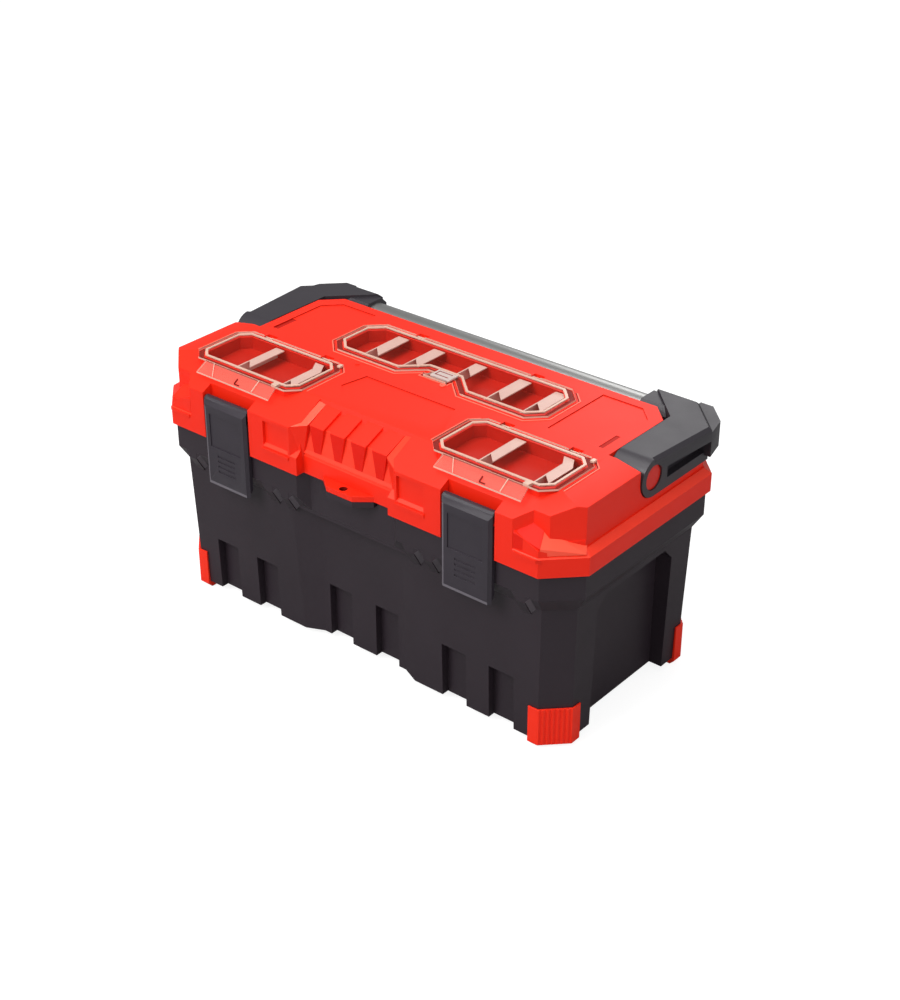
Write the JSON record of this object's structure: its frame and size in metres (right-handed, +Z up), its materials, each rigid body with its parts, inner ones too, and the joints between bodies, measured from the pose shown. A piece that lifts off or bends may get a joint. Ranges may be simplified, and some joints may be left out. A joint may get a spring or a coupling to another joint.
{
  "type": "tool box",
  "caption": "Moulded tool box with a hinged lid, two front latches, clear covered lid organisers, a fold-back handle with a metal tube and a lift-out tray.",
  "frame": {"origin": "on the floor under the middle of the closed box", "axes": "+X along the length to the right, +Y to the rear where the hinge is, +Z up"},
  "size_m": [0.554, 0.286, 0.2845],
  "materials": {
    "tub_black": "fine moulded texture",
    "guard_red": "moulded, satin",
    "lid_red": "moulded, satin",
    "latch_black": "fine moulded texture",
    "handle_black": "fine moulded texture",
    "tube_aluminium": "brushed and anodised",
    "pin_steel": "zinc plated",
    "cap_red": "moulded, gloss",
    "cover_clear": "clear, polished",
    "divider_pale": "moulded, gloss",
    "tray_black": "moulded, satin"
  },
  "bodies": {
    "tub": {"base_tub": "tub_black", "foot_front_left": "guard_red", "foot_front_right": "guard_red", "foot_rear_left": "guard_red", "foot_rear_right": "guard_red", "lid_hinge_pins": "pin_steel", "lift_out_tray": "tray_black"},
    "lid": {"lid_shell": "lid_red", "latch_pin_left": "pin_steel", "latch_pin_right": "pin_steel", "pivot_cap_left": "cap_red", "pivot_cap_right": "cap_red", "dividers_front_left": "divider_pale", "dividers_front_right": "divider_pale", "dividers_rear": "divider_pale", "cover_pins_front_left": "pin_steel", "cover_pins_front_right": "pin_steel", "cover_pins_rear": "pin_steel"},
    "latch_left": {"latch_left": "latch_black"},
    "latch_right": {"latch_right": "latch_black"},
    "handle": {"handle_arm_left": "handle_black", "handle_arm_right": "handle_black", "handle_tube": "tube_aluminium"},
    "cover_front_left": {"cover_front_left": "cover_clear"},
    "cover_front_right": {"cover_front_right": "cover_clear"},
    "cover_rear": {"cover_rear": "cover_clear"}
  },
  "joints": [
    {"name": "lid_hinge", "type": "hinge", "parent": "tub", "child": "lid", "pos_m": [0, 0.139, 0.203], "axis": [-1, 0, 0], "range_deg": [0, 105]},
    {"name": "latch_left_hinge", "type": "hinge", "parent": "lid", "child": "latch_left", "pos_m": [-0.16, -0.1335, 0.2535], "axis": [-1, 0, 0], "range_deg": [0, 110]},
    {"name": "latch_right_hinge", "type": "hinge", "parent": "lid", "child": "latch_right", "pos_m": [0.16, -0.1335, 0.2535], "axis": [-1, 0, 0], "range_deg": [0, 110]},
    {"name": "handle_hinge", "type": "hinge", "parent": "lid", "child": "handle", "pos_m": [0, 0.008, 0.2614], "axis": [1, 0, 0], "range_deg": [0, 90]},
    {"name": "cover_front_left_hinge", "type": "hinge", "parent": "lid", "child": "cover_front_left", "pos_m": [-0.161, -0.02578, 0.279], "axis": [-1, 0, 0], "range_deg": [0, 95]},
    {"name": "cover_front_right_hinge", "type": "hinge", "parent": "lid", "child": "cover_front_right", "pos_m": [0.161, -0.02578, 0.279], "axis": [-1, 0, 0], "range_deg": [0, 95]},
    {"name": "cover_rear_hinge", "type": "hinge", "parent": "lid", "child": "cover_rear", "pos_m": [0, 0.0792, 0.279], "axis": [-1, 0, 0], "range_deg": [0, 100]}
  ]
}
